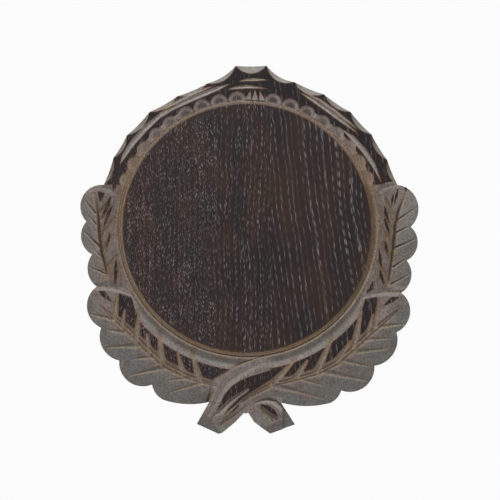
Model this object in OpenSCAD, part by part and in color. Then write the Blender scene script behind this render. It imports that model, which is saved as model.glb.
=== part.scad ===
// Carved oak trophy plaque. A blank of three edge-glued oak staves is sawn to a leafy shield
// and carved: a round field, a scalloped crest, four oak-leaf halves and two crossed stems.
// A strap hanger with a swinging D ring is let into the back. The origin is the centre of the
// field on the wall face: +X is right as seen from the front, +Z is up, the carving faces -Y.

/* [Board] */
// Thickness of the board, from the wall face to the carved face
board_t = 20; // [18:0.5:24]
// Where the left glue line stands, left of the centre
left_seam = 21; // [18:0.5:24]
// Where the right glue line stands, right of the centre
right_seam = 16.5; // [15:0.5:19]

/* [Ring and cove] */
// Radius of the flat round field
field_r = 82.5; // [81:0.5:83.5]
// Width of the groove turned round the field
groove_w = 2.8; // [2:0.1:3.5]
// Depth of that groove
groove_deep = 1.4; // [0.8:0.1:2]
// Radius of the middle of the cove under the field
cove_r = 91; // [90:0.5:92]
// Width of the cove on the carved face
cove_w = 7.6; // [6:0.2:8]
// Depth of the cove
cove_deep = 2.4; // [1.5:0.1:3]

/* [Crest] */
// Depth at which the gouged scallops run out on the board's edge
scallop_deep = 6.5; // [5:0.5:8]
// How far each scallop draws in between that depth and the carved face
scallop_lean = 5; // [4:0.1:5.5]
// Radius on which the row of thumbnail cuts stands
thumb_row_r = 88.4; // [88:0.1:89]
// Radius of one thumbnail cut on the carved face
thumb_r = 5.6; // [5:0.1:5.8]
// Depth of one thumbnail cut
thumb_deep = 2; // [1.2:0.1:2.6]
// Depth of the long gouge strokes over the crest
stroke_deep = 1; // [0.6:0.1:1.4]

/* [Leaves and stems] */
// Slope of the outer lobes, down from the midrib to the edge, in degrees
lobe_slope = 20; // [14:1:24]
// Depth of the midrib grooves
rib_deep = 2.4; // [1.6:0.1:3]
// Depth of a vein where it meets the midrib
vein_deep = 2; // [1.2:0.1:2.6]
// Slope of the sawn-off stem ends, in degrees
stem_slope = 42; // [30:1:50]

/* [Hanger] */
// Depth of the pocket that takes the hanger
pocket_deep = 6; // [5.5:0.1:7]
// Width of the pocket
pocket_w = 24; // [23:0.5:26]
// Height of the strap's eye above the centre of the field
eye_z = 66; // [62:1:68]
// Thickness of the strap's sheet steel
sheet_t = 0.8; // [0.6:0.1:0.9]
// Width of the strap
strap_w = 12; // [10:0.5:12]
// Distance from the eye to the upper screw
upper_screw_drop = 8; // [7.5:0.1:8.5]
// Distance between the two screws
screw_gap = 12; // [11.8:0.1:13]
// Diameter of the ring's wire
wire_d = 2.2; // [2:0.1:2.2]
// Width of the D ring between the middles of its wire
ring_w = 18; // [17:0.5:18]
// Thread diameter of the screws
screw_d = 3; // [2.6:0.1:3]
// Length of a screw under its head
screw_len = 12; // [10:0.5:14]

/* [Hidden] */
$fn = 48;
eps = 0.01;
far = 200;
oak = "#3d3331";
steel = "#b9b6ae";
// Length of the flats that the curved stretches of the edge are cut in
arc_step = 2.6;
thumb_count = 18;
thumb_pitch = 8;
// The row of thumbnail cuts is centred this far round from +X
thumb_middle = 90.4;
// How far the slope of one lobe reaches into the next
lobe_overlap = 3;
// Depth of a vein at its thin end
vein_thin = 0.4;
stem_w = 30;
// How far a V channel runs on past both its ends
v_lap = 0.7;
// How far a lobe's slope can reach sideways past the ends of its stretch
lobe_reach = 15;

// The crest's cusps from left to right: [x, z, bow of the edge to the next cusp, bow of the
// scallop on the carved face]. A bow is how far the curve stands in from the straight line.
crest = [
    [-95.5, 28.5, 0.3, 3.3], [-89, 46.5, 0.3, 3.0], [-80, 61.5, 0.4, 3.7],
    [-65, 77, 0.4, 3.2], [-46.5, 87.5, 0.4, 2.9], [-26.5, 96, 1.4, 4.3],
    [-7.5, 107.7, 0, 5.2], [13, 107.8, 1.9, 5.2], [31.5, 97, 0.3, 4.2],
    [51.3, 88.8, 0.4, 3.5], [69, 77, 0.3, 3.7], [83, 62, 0.3, 3.3], [93.5, 45, 0.2, 3.2],
];
crest_end = [100.3, 28.5];

// The leaves' and stems' edge, on clockwise from the crest's right end: [x, z, bow outwards of
// the edge to the next point, how far in from that stretch the lobe's slope starts]. A stretch
// with no fourth value has no slope.
leaf_edge = [
    [100.3, 28.5, 9.4, 4], [109.5, 0.5, 6, 9], [106.8, -22, 5, 8], [103, -43.5, 7.6, 5],
    [100, -70, 6.2, 14], [85.3, -92.5, 7.6, 14], [63, -109, 1.2, 12], [56, -117.3, 2.3, 11],
    [23, -117, 0], [23.5, -118.8, 0], [32, -132, 0], [15.5, -137.8, 0], [5, -130, 0],
    [0.7, -123.6, 0.6], [-2, -123.7, 0], [-8, -130, 0], [-16.5, -137, 0], [-19, -137.8, 0],
    [-33.5, -131.5, 0], [-25, -116.5, 2.2, 11], [-56, -115.3, 1.6, 12],
    [-63.5, -105, 7.8, 14], [-85.5, -89, 5.8, 13], [-97.5, -67, 8, 3],
    [-100.5, -39.5, 4.5, 6], [-103.5, -18, 5.5, 7], [-107.3, 4, 9.5, 3],
];

// Long gouge strokes over the crest that follow the ring: [radius, from angle, to angle].
crest_strokes = [[94.3, 100, 128], [98.4, 82, 93], [93.2, 81, 98], [93.5, 18, 45]];
// The one straight stroke, over the right of the crest.
straight_stroke = [[35, 91], [75.5, 62]];

// Midribs of the four leaves, as the turning points of their grooves.
ribs = [
    [[-101.5, 22], [-98.5, 0], [-97.5, -14], [-93.5, -30]],
    [[105.5, 22], [98.5, 0], [97.5, -14], [95, -33]],
    [[-99, -52], [-80, -68.5], [-62, -87], [-44, -98], [-23, -105]],
    [[101, -55], [82, -71], [63, -88], [44, -98], [15, -106], [-14, -119]],
];

// Veins, each from its thin end to its deep end at the midrib: first those of the inner halves
// of the leaves, then those of the sloping outer lobes.
veins = [
    [[-90.5, 19], [-97, 12]], [[-91, 14], [-96.5, 6]], [[-88.5, 6], [-95.5, -4]],
    [[-90, -5], [-94, -12]], [[-87, -20], [-94, -29]],
    [[92.5, 19], [99, 3]], [[93, 5], [98, -2]], [[89.5, 0], [97, -13]],
    [[91, -12], [96, -22]], [[87.5, -24], [94.5, -35]],
    [[-86.5, -45], [-89, -60]], [[-81.5, -54], [-83, -66]], [[-72, -58], [-74, -76]],
    [[-66.5, -72], [-65.5, -83]], [[-58.5, -71], [-57, -91]], [[-46, -85], [-43, -97]],
    [[-37, -84], [-32, -101]],
    [[88, -50], [86, -65]], [[84, -58], [80, -71]], [[75.5, -57], [72, -78]],
    [[69, -76], [60, -89]], [[57, -74], [46, -97]], [[40, -90], [32, -99]],
    [[32, -90], [17, -104]],
    [[-110, 20], [-101, 9.5]], [[-107, 9], [-100, 2]], [[-109, -1.5], [-98, -13]],
    [[-103, -14], [-96.5, -20]], [[-105, -26], [-94.5, -31]],
    [[113, 14], [101, 5]], [[109, 1.5], [100, -2.5]], [[113, -7], [99, -13]],
    [[106.5, -20.5], [97.5, -26]], [[108.5, -31], [96, -37]],
    [[-103, -57.5], [-89, -61]], [[-92, -68.5], [-81, -70]], [[-94, -80], [-72, -79]],
    [[-75, -87.5], [-62, -86.5]], [[-77, -98.5], [-55, -93]], [[-53, -102], [-37, -100]],
    [[-51, -110], [-31, -104]],
    [[104, -64.5], [88, -66]], [[95, -74], [79, -74]], [[93, -81], [74, -82]],
    [[82, -93], [65, -89]], [[82, -103], [52, -96]], [[50, -105.5], [37, -101]],
    [[50, -114], [20, -105]],
];

// Creases of the two stems where they sweep down and cross.
stem_cuts = [
    [[9, -89], [-12, -95]], [[-12, -95], [-24, -101]], [[2, -93], [-14, -105]],
    [[-14, -105], [-24, -122]], [[-1, -108], [-16, -124]], [[9, -117], [17, -127]],
    [[10, -113.5], [22, -117.5]],
];

// Sawn-off stem ends: [a point on the line where the slope starts, its downhill heading].
stem_ends = [[[-23, -128.5], 226], [[21, -128], 291]];

// Points along the curve from a to b that stands bow out to the left, without b itself
function bowed(a, b, bow) =
    bow == 0 ? [a] :
    let (chord = norm(b - a), r = (chord * chord / 4 + bow * bow) / (2 * abs(bow)))
    let (along = (b - a) / chord, out = [-along[1], along[0]] * sign(bow))
    let (half = 2 * atan(2 * abs(bow) / chord), steps = ceil(chord / arc_step))
    [for (k = [0 : steps - 1]) let (t = half * (2 * k / steps - 1))
        (a + b) / 2 + along * r * sin(t) + out * (r * cos(t) - r + abs(bow))];

function xz(p) = [p[0], p[1]];

// Does the stretch from a to b reach between two x values?
function reaches(a, b, low, high) = max(a[0], b[0]) > low && min(a[0], b[0]) < high;

// The point after number i in a list, or the given last point.
function after(list, i, last) = i + 1 < len(list) ? xz(list[i + 1]) : last;

outline = concat(
    [for (i = [0 : len(crest) - 1]) each
        bowed(xz(crest[i]), after(crest, i, crest_end), -crest[i][2])],
    [for (i = [0 : len(leaf_edge) - 1]) each
        bowed(xz(leaf_edge[i]), after(leaf_edge, i, xz(crest[0])), leaf_edge[i][2])]
);

// The sloping stretches of the leaves' edge, as [one end, the other end, inset of the slope].
lobes = [for (i = [0 : len(leaf_edge) - 1]) if (len(leaf_edge[i]) > 3)
    [xz(leaf_edge[i]), after(leaf_edge, i, xz(crest[0])), leaf_edge[i][3]]];

function out_of(lobe) = let (along = (lobe[1] - lobe[0]) / norm(lobe[1] - lobe[0]))
    [-along[1], along[0]];
function lobe_hinge(lobe) = (lobe[0] + lobe[1]) / 2 - out_of(lobe) * lobe[2];

// How far the lobes' slopes have lowered the face at a point.
function drop_at(p) = max([for (lobe = lobes) let (side = lobe[1] - lobe[0], run = norm(side))
    abs((p - (lobe[0] + lobe[1]) / 2) * side / run) < run / 2 + lobe_overlap
        ? max(0, (p - lobe_hinge(lobe)) * out_of(lobe) * tan(lobe_slope)) : 0]);

eye_r = wire_d / 2 + 0.3;
eye_depth = pocket_deep - sheet_t - eye_r;
screw_zs = [eye_z - upper_screw_drop, eye_z - upper_screw_drop - screw_gap];
strap_end_z = screw_zs[1];
strap_top = pocket_deep - 2 * sheet_t;
head_r = 3;
head_h = 1.8;
dome_h = 0.8;
cross_w = 3.4;
cross_t = 0.7;
cross_deep = 1;
tip_h = 2.5;
ring_bend_r = 2.5;
ring_leg = 3;
bow_r = ring_w / 2;
pocket_low_z = 48;
pocket_high_z = 78;

// The board is carved lying on its back, so cuts are drawn in (x, z) with height as the third
// coordinate. This stands what was drawn there up against the wall.
module hang() {
    rotate([90, 0, 0]) children();
}

// A V channel with square walls from a to b, with the given depths at its ends. It runs on a
// little past both, so that channels that meet cut cleanly through each other.
module v_cut(a, b, deep_a, deep_b) {
    run = norm(b - a);
    side = 2 * max(deep_a, deep_b) + 1;
    translate([a[0], a[1], board_t - deep_a])
        rotate([0, atan((deep_b - deep_a) / run), atan2(b[1] - a[1], b[0] - a[0])])
            rotate([45, 0, 0]) translate([-v_lap, 0, 0])
                cube([run + 2 * v_lap, side, side]);
}

// A slope that leaves the carved face on a line and falls away along a heading.
module slope_cut(p, heading, width, angle) {
    translate([p[0], p[1], board_t]) rotate([0, 0, heading]) rotate([0, angle, 0])
        translate([0, -width / 2, 0]) cube([40, width, 30]);
}

// One gouged scallop of the crest between cusps a and b.
module scallop(a, b, bow) {
    chord = norm(b - a);
    r = (chord * chord / 4 + bow * bow) / (2 * bow);
    along = (b - a) / chord;
    middle = (a + b) / 2 + [-along[1], along[0]] * (r - bow);
    translate([middle[0], middle[1], board_t - scallop_deep])
        cylinder(h = scallop_deep + eps, r1 = r - scallop_lean, r2 = r);
}

// One thumbnail cut: the gouge leaves a shallow bowl.
module thumbnail(angle) {
    ball_r = (thumb_r * thumb_r + thumb_deep * thumb_deep) / (2 * thumb_deep);
    rotate([0, 0, angle]) translate([thumb_row_r, 0, board_t - thumb_deep + ball_r])
        sphere(r = ball_r);
}

// A shallow V stroke that follows a circle round the field.
module round_stroke(r, from, to) {
    rotate([0, 0, from]) rotate_extrude(angle = to - from)
        polygon([[r - stroke_deep - 1, board_t + 1], [r, board_t - stroke_deep],
                 [r + stroke_deep + 1, board_t + 1]]);
}

module ring_and_cove() {
    cove_ball = (cove_w * cove_w / 4 + cove_deep * cove_deep) / (2 * cove_deep);
    rotate_extrude($fn = 96)
        polygon([[field_r - 1, board_t + 1], [field_r, board_t],
                 [field_r + groove_w, board_t - groove_deep],
                 [field_r + groove_w + 0.5, board_t + 1]]);
    rotate([0, 0, 190]) rotate_extrude(angle = 160)
        translate([cove_r, board_t - cove_deep + cove_ball]) circle(r = cove_ball);
}

// All the carving that reaches the stave between two x values.
module carving(low, high) {
    ring_and_cove();
    for (i = [0 : len(crest) - 1]) {
        a = xz(crest[i]);
        b = after(crest, i, crest_end);
        if (b[0] > low && a[0] < high) scallop(a, b, crest[i][3]);
    }
    for (i = [0 : thumb_count - 1]) {
        angle = thumb_middle + thumb_pitch * (i - (thumb_count - 1) / 2);
        x = thumb_row_r * cos(angle);
        if (x > low - thumb_r && x < high + thumb_r) thumbnail(angle);
    }
    for (lobe = lobes) if (reaches(lobe[0], lobe[1], low - lobe_reach,
                                       high + lobe_reach))
        slope_cut(lobe_hinge(lobe), atan2(out_of(lobe)[1], out_of(lobe)[0]),
                  norm(lobe[1] - lobe[0]) + 2 * lobe_overlap, lobe_slope);
    for (rib = ribs) for (k = [0 : len(rib) - 2]) if (reaches(rib[k], rib[k + 1], low, high))
        v_cut(rib[k], rib[k + 1], drop_at(rib[k]) + (k == 0 ? 1 : rib_deep),
              drop_at(rib[k + 1]) + rib_deep);
    for (vein = veins) if (reaches(vein[0], vein[1], low, high))
        v_cut(vein[0], vein[1], drop_at(vein[0]) + vein_thin, drop_at(vein[1]) + vein_deep);
    for (cut = stem_cuts) if (reaches(cut[0], cut[1], low, high))
        v_cut(cut[0], cut[1], 1, vein_deep);
    for (end = stem_ends) if (reaches(end[0], end[0], low - stem_w / 2, high + stem_w / 2))
        slope_cut(end[0], end[1], stem_w, stem_slope);
    for (s = crest_strokes) if (s[0] * cos(s[2]) < high && s[0] * cos(s[1]) > low)
        round_stroke(s[0], s[1], s[2]);
    if (reaches(straight_stroke[0], straight_stroke[1], low, high))
        v_cut(straight_stroke[0], straight_stroke[1], stroke_deep, stroke_deep);
}

// The sawn and carved board between two x values.
module stave(low, high) {
    color(oak) hang() difference() {
        linear_extrude(height = board_t) intersection() {
            polygon(outline);
            translate([low, -far]) square([high - low, 2 * far]);
        }
        carving(low, high);
    }
}

module pocket() {
    translate([0, 0, -1]) linear_extrude(height = pocket_deep + 1) union() {
        for (z = [pocket_low_z, pocket_high_z]) translate([0, z]) circle(d = pocket_w);
        translate([-pocket_w / 2, pocket_low_z])
            square([pocket_w, pocket_high_z - pocket_low_z]);
    }
}

// The solid body of one screw, drawn with its head down towards the wall.
module screw_body(z) {
    shank = screw_len - tip_h;
    translate([0, z, strap_top]) {
        cylinder(h = shank, d = screw_d);
        translate([0, 0, shank]) cylinder(h = tip_h, d1 = screw_d, d2 = 0.4);
    }
}

module stave_left() {
    stave(-far, -left_seam);
}

module stave_middle() {
    difference() {
        stave(-left_seam, right_seam);
        color(oak) hang() {
            pocket();
            for (z = screw_zs) screw_body(z);
        }
    }
}

module stave_right() {
    stave(right_seam, far);
}

// Sheet steel folded round the ring's bar, so that both layers lie together on the pocket's
// floor and the screws pass through both.
module hanger_strap() {
    color(steel) hang() difference() {
        union() {
            translate([-strap_w / 2, strap_end_z, strap_top])
                cube([strap_w, eye_z - strap_end_z, 2 * sheet_t]);
            translate([0, strap_end_z, strap_top]) cylinder(h = 2 * sheet_t, d = strap_w);
            translate([-strap_w / 2, eye_z, eye_depth]) rotate([0, 90, 0])
                cylinder(h = strap_w, r = eye_r + sheet_t);
        }
        translate([-strap_w, eye_z, eye_depth]) rotate([0, 90, 0])
            cylinder(h = 2 * strap_w, r = eye_r);
        for (z = screw_zs) translate([0, z, -1]) cylinder(h = pocket_deep + 2, d = screw_d + 0.4);
    }
}

// Round wire bent to a D, standing up from the strap's eye as it does on a nail.
module hanger_ring() {
    bar = ring_w - 2 * ring_bend_r;
    color(steel) hang() translate([0, eye_z, eye_depth]) {
        translate([-bar / 2, 0, 0]) rotate([0, 90, 0]) cylinder(h = bar, d = wire_d);
        for (side = [-1, 1]) {
            translate([side * bow_r, ring_bend_r, 0]) rotate([-90, 0, 0])
                cylinder(h = ring_leg, d = wire_d);
            translate([side * (bow_r - ring_bend_r), ring_bend_r, 0])
                rotate([0, 0, side < 0 ? 180 : 270]) rotate_extrude(angle = 90)
                    translate([ring_bend_r, 0]) circle(d = wire_d);
        }
        translate([0, ring_bend_r + ring_leg, 0]) rotate_extrude(angle = 180)
            translate([bow_r, 0]) circle(d = wire_d);
    }
}

// A pan-head wood screw with a cross recess.
module hanger_screw(z) {
    dome_r = (head_r * head_r + dome_h * dome_h) / (2 * dome_h);
    color(steel) hang() difference() {
        union() {
            screw_body(z);
            translate([0, z, strap_top - head_h + dome_h])
                cylinder(h = head_h - dome_h, r = head_r);
            intersection() {
                translate([0, z, strap_top - head_h + dome_r]) sphere(r = dome_r);
                translate([0, z, strap_top - head_h - 1]) cylinder(h = dome_h + 1, r = head_r);
            }
        }
        for (turn = [0, 90]) translate([0, z, strap_top - head_h]) rotate([0, 0, turn])
            cube([cross_w, cross_t, 2 * cross_deep], center = true);
    }
}

module hanger_screw_upper() {
    hanger_screw(screw_zs[0]);
}

module hanger_screw_lower() {
    hanger_screw(screw_zs[1]);
}

stave_left();
stave_middle();
stave_right();
hanger_strap();
hanger_ring();
hanger_screw_upper();
hanger_screw_lower();
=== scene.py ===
import math

import bmesh
import bpy
import numpy as np
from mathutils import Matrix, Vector


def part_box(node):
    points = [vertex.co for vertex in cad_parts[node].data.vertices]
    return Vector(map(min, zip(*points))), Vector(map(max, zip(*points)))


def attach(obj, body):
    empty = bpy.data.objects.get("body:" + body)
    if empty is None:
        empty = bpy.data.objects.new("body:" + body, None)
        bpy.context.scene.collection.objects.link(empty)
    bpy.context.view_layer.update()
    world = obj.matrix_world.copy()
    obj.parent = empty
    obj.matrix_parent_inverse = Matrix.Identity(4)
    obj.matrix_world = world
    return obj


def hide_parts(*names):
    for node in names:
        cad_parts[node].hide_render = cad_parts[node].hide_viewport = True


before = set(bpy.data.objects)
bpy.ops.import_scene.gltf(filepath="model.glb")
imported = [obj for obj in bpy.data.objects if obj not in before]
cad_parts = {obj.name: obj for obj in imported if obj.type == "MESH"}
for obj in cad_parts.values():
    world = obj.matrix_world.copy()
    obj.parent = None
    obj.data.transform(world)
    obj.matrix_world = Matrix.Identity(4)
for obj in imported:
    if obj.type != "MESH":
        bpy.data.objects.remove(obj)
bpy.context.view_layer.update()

mm = 0.001

# ---------------------------------------------------------------------------
# The left stave: one of three flat-sawn oak staves, edge-glued into a blank before any carving.
# The glued blank is sawn to a leafy outline, stained nearly black, limed and then carved through
# the stain, so each cut shows paler wood. The cuts cross the glue lines, so they come first.
# ---------------------------------------------------------------------------
board_t = 20.0
# The round field, and the outer edge of the ring turned round it.
field_r = 82.5
ring_r = field_r + 5
# Slopes of the leaves' outer halves and of the sawn stem ends, in degrees.
lobe_slope = 20
sawn_slope = 38


def linear(hex_colour):
    """An sRGB hex colour as linear red, green, blue and alpha."""
    parts = [int(hex_colour[i:i + 2], 16) / 255 for i in (1, 3, 5)]
    return [c / 12.92 if c <= 0.04045 else ((c + 0.055) / 1.055) ** 2.4 for c in parts] + [1.0]


# How deep a tool cuts across its stroke, as (share of the width, share of the depth).
# Left of the stroke's heading is positive.
V_TOOL = ((-1, 0), (0, 1), (1, 0))
RIB = ((-1, 0), (-0.45, 1), (0, 0.4), (0.45, 1), (1, 0))
GOUGE = ((-1, 0), (-0.75, 0.5), (-0.4, 0.88), (0, 1), (0.4, 0.88), (0.75, 0.5), (1, 0))
SHELF_LEFT = ((-0.65, 0), (0, 1), (1, 0))
SHELF_RIGHT = ((-1, 0), (0, 1), (0.65, 0))
CLIFF_LEFT = ((-0.15, 0), (0, 1), (1, 0))
CLIFF_RIGHT = ((-1, 0), (0, 1), (0.15, 0))


def aside(x, z, line, run_on):
    """How far each point is left of a line through the given points, and how far along it."""
    near = np.full(x.shape, 1e9)
    place = np.zeros_like(x)
    for k in range(len(line) - 1):
        ax, az = line[k][:2]
        bx, bz = line[k + 1][:2]
        run = math.hypot(bx - ax, bz - az)
        ux, uz = (bx - ax) / run, (bz - az) / run
        t = (x - ax) * ux + (z - az) * uz
        low = -1e9 if run_on and k == 0 else 0.0
        high = 1e9 if run_on and k == len(line) - 2 else run
        at = np.clip(t, low, high)
        away = np.hypot(x - ax - at * ux, z - az - at * uz)
        side = np.where((z - az) * ux - (x - ax) * uz < 0, -1.0, 1.0)
        closer = away < np.abs(near)
        near = np.where(closer, away * side, near)
        place = np.where(closer, k + np.clip(at / run, 0, 1), place)
    return near, place


def cut(x, z, stroke, tool=V_TOOL):
    """Depth of one stroke. Its turning points are (x, z, half width, depth), all in mm."""
    side, place = aside(x, z, stroke, False)
    stops = range(len(stroke))
    half = np.interp(place, stops, [p[2] for p in stroke])
    deep = np.interp(place, stops, [p[3] for p in stroke])
    return deep * np.interp(side / half, [p[0] for p in tool], [p[1] for p in tool])


def ease(low, high, value):
    """A smooth step, from 0 at low to 1 at high. Low may be the larger one."""
    t = np.clip((value - low) / (high - low), 0, 1)
    return t * t * (3 - 2 * t)


# The crest's cusps from left to right: (x, z, how far the scallop to the next cusp bites in).
cusps = [
    (-95.5, 28.5, 3.3), (-89, 46.5, 3.0), (-80, 61.5, 3.7), (-65, 77, 3.2), (-46.5, 87.5, 2.9),
    (-26.5, 96, 4.3), (-7.5, 107.7, 5.2), (13, 107.8, 5.2), (31.5, 97, 4.2), (51.3, 88.8, 3.5),
    (69, 77, 3.7), (83, 62, 3.3), (93.5, 45, 3.2), (100.3, 28.5, 0),
]
# How steeply a scallop falls away from the face, as depth for each mm.
scallop_fall = 1.28


def scallops(x, z):
    """Hollows gouged over the crest's edge, one from each cusp to the next."""
    deep = np.zeros_like(x)
    for (ax, az, bite), (bx, bz, _) in zip(cusps, cusps[1:]):
        chord = math.hypot(bx - ax, bz - az)
        r = (chord * chord / 4 + bite * bite) / (2 * bite)
        ux, uz = (bx - ax) / chord, (bz - az) / chord
        mx, mz = (ax + bx) / 2 - uz * (r - bite), (az + bz) / 2 + ux * (r - bite)
        deep = np.maximum(deep, scallop_fall * (r - np.hypot(x - mx, z - mz)))
    return deep


# The row of thumbnail cuts: its number, pitch and middle in degrees, the radius of one cut, where
# the row stands, and the cut that is made of three pricks instead.
thumb_count = 18
thumb_pitch = 8
thumb_middle = 90.4
thumb_r = 5.7
thumb_foot_r = 85.2
pricked_thumb = 8


def thumbnails(x, z):
    """The half-round gouge cuts that stand on the ring over the field, and the heart of each."""
    deep, heart = np.zeros_like(x), np.zeros_like(x)
    r = np.hypot(x, z)
    angle = np.degrees(np.arctan2(z, x))
    for k in range(thumb_count):
        if k == pricked_thumb:
            continue
        middle = thumb_middle + thumb_pitch * (k - (thumb_count - 1) / 2)
        along = np.radians(angle - middle) * r
        away = np.hypot(along * 0.93, np.maximum(r - thumb_foot_r - 0.3, 0) * 0.97) / thumb_r
        bowl = np.interp(away, (0, 0.4, 0.85, 1), (1.6, 1.5, 0.95, 0))
        deep = np.maximum(deep, bowl * (r > thumb_foot_r))
        heart = np.maximum(heart, ease(0.75, 0.3, away) * (r > thumb_foot_r))
    return deep, heart


def ring(x, z):
    """The ring turned round the field: one slope over the top, three fine steps elsewhere."""
    out = np.hypot(x, z) - field_r
    angle = np.degrees(np.arctan2(z, x)) % 360
    top = np.interp(out, (-0.1, 0.3, 2.4, 2.8), (0, 0.5, 1.4, 0))
    steps = np.interp(out, (-0.4, 0.3, 0.5, 0.7, 1.3, 1.8, 2.7, 3.7, 4.3, 4.9, 5.3),
                      (0, 0.25, 0.9, 1.2, 0.7, 1.3, 0.6, 1.6, 1.1, 0.9, 0))
    over = ease(16, 30, angle) * ease(164, 150, angle)
    return top * over + steps * (1 - over)


def cove(x, z):
    """The broad hollow under the ring, which runs out in narrow hollows up both sides."""
    turn = np.degrees(np.arctan2(x, -z))
    width = 1.5 + 5.6 * ease(64, 48, np.abs(turn - 2)) + 0.8 * ease(112, 80, np.abs(turn))
    share = np.clip((np.hypot(x, z) - ring_r) / width, 0, 1)
    deep = np.interp(width, (1.5, 2.3, 7), (0, 0.8, 2.6))
    return deep * np.sin(np.pi * share)


# Strokes on the crest, as turning points (x, z, half width, depth).
crest_strokes = [
    # Three pricks stand for one thumbnail cut.
    [(0.9, 85.8, 2.6, 1.2), (2.3, 91.4, 0.4, 0.3)], [(5.3, 85.7, 2.6, 1.3), (5.4, 91.9, 0.4, 0.3)],
    [(9.7, 85.4, 2.6, 1.2), (8.6, 91.2, 0.4, 0.3)],
    [(-6, 97.4, 0.3, 0.1), (-1, 98.5, 1.1, 1.0), (5, 98.8, 1.4, 1.1), (15, 98.4, 0.3, 0.1)],
    [(-14, 91.9, 0.3, 0.1), (-8, 93.2, 1.2, 0.9), (0, 94.1, 1.6, 1.2), (15, 92.6, 0.3, 0.1)],
    [(-10.5, 96.2, 0.3, 0.1), (-20, 92.7, 1.8, 1.2), (-30, 88.7, 2.1, 1.4), (-40, 84.4, 2.0, 1.4),
     (-50, 79.3, 1.5, 1.1), (-60, 71.5, 0.4, 0.1)],
    [(-20, 95.4, 0.3, 0.1), (-30, 91.8, 1.3, 0.8), (-38, 88.4, 1.5, 1.0), (-48, 83.2, 1.5, 1.0),
     (-58, 77.0, 0.4, 0.1)],
    [(-46, 82.5, 0.3, 0.1), (-57, 75.8, 1.7, 1.2), (-67, 66.9, 2.3, 1.6), (-76, 57.0, 2.2, 1.5),
     (-82, 48, 1.8, 1.3), (-85, 41.5, 0.4, 0.1)],
    [(34, 91, 0.3, 0.1), (42, 86.2, 1.4, 1.0), (52, 79.6, 1.7, 1.3), (64, 70.6, 1.6, 1.2),
     (75.5, 61.5, 0.3, 0.1)],
    [(37, 90.4, 0.3, 0.1), (48, 85.4, 1.3, 0.9), (58, 78.4, 1.3, 0.9), (68, 70.4, 1.2, 0.8),
     (75.5, 63.6, 0.3, 0.1)],
    [(62, 66.5, 0.4, 0.1), (70, 60.2, 1.9, 1.2), (78, 51.3, 2.1, 1.4), (84, 42.3, 1.8, 1.2),
     (89.5, 30.5, 0.6, 0.3)],
]

# Midribs, as turning points (x, z, half width, depth), walked with the outer half of the leaf on
# the left.
ribs = {
    "upper_left": [(-93.3, -31, 1.5, 1.0), (-97, -16, 2.2, 1.3), (-98.6, -2, 2.2, 1.3),
                   (-99.2, 8, 1.8, 1.2), (-101.8, 23, 0.8, 0.6)],
    "upper_right": [(105.5, 22, 0.8, 0.6), (101, 11, 1.8, 1.2), (98.8, 1, 2.2, 1.3),
                    (97.3, -14, 2.2, 1.3), (94.6, -35, 1.5, 1.0)],
    "lower_left": [(-22, -105, 1.5, 0.8), (-30, -103, 2.2, 1.2), (-40, -99.6, 2.6, 1.5),
                   (-55, -92, 3.0, 1.7), (-66, -82.5, 3.0, 1.7), (-80, -68.5, 2.8, 1.6),
                   (-90, -59.5, 2.0, 1.2), (-97.5, -52.5, 0.8, 0.5)],
    "lower_right": [(101.5, -54.5, 0.8, 0.5), (95, -60, 1.8, 1.1), (82, -71, 2.6, 1.5),
                    (70, -82, 2.8, 1.6), (60, -90.5, 2.8, 1.6), (48, -96.8, 2.4, 1.4),
                    (30, -102, 2.2, 1.3), (16, -105.2, 2.2, 1.3), (4, -111.3, 2.2, 1.3),
                    (-5, -117, 1.2, 0.8)],
}

# The lines that the outer halves of the leaves slope down from, walked the same way.
hinges = {
    "upper_left": [(-93.3, -31), (-97, -16), (-98.6, -2), (-100, 10), (-102, 24)],
    "upper_right": [(105.5, 24), (101, 11), (98.8, 1), (97.3, -14), (94.6, -35)],
    "lower_left": [(-22, -105), (-30, -103), (-40, -99.6), (-55, -92), (-66, -82.5),
                   (-80, -68.5), (-90, -59.5), (-94, -51), (-97, -44), (-98, -38)],
    "lower_right": [(101, -42), (98, -48), (93, -53), (90, -63), (82, -71), (70, -82),
                    (60, -90.5), (48, -96.8), (30, -102), (16, -105.2), (4, -111.3), (-6, -117.5)],
}

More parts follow.
